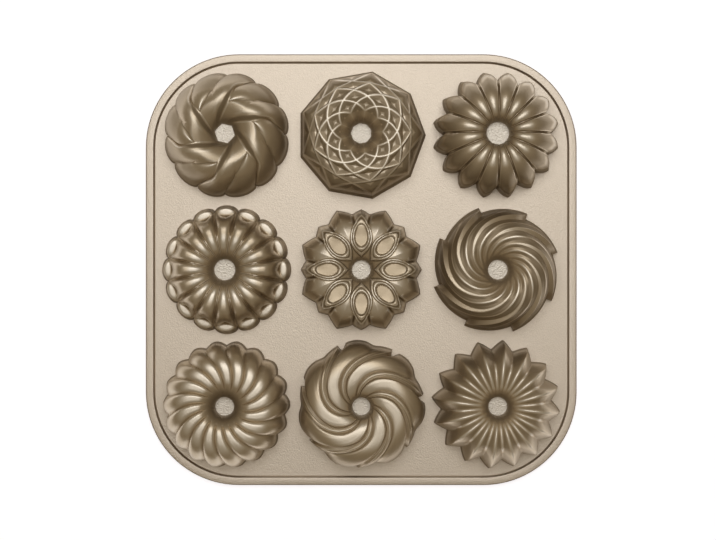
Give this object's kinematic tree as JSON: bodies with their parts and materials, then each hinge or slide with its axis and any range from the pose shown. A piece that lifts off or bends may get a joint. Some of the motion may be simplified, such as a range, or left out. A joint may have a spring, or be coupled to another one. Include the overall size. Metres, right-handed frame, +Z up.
{
  "type": "rosette cake pan",
  "caption": "Square cast baking pan of ring-cake wells, each with its own fluted rosette pattern and centre post, lying on its flat baking face with the rosettes up.",
  "frame": {"origin": "middle of the flat baking face, which the pan rests on here", "axes": "+Z up through the rosettes, +Y towards the back row of wells, +X to the right"},
  "size_m": [0.28, 0.28, 0.036],
  "materials": {
    "deck": "satin champagne, fine cast grain",
    "rim": "satin champagne",
    "rosette": "smooth champagne, soft gloss",
    "post": "smooth champagne, soft gloss"
  },
  "bodies": {
    "root": {"deck_plate": "deck", "rim_lip": "rim", "twist_cup": "rosette", "twist_post": "post", "lattice_cup": "rosette", "lattice_post": "post", "daisy_cup": "rosette", "daisy_post": "post", "scallop_cup": "rosette", "scallop_post": "post", "lotus_cup": "rosette", "lotus_post": "post", "rib_cup": "rosette", "rib_post": "post", "flute_cup": "rosette", "flute_post": "post", "swirl_cup": "rosette", "swirl_post": "post", "star_cup": "rosette", "star_post": "post"}
  },
  "joints": []
}
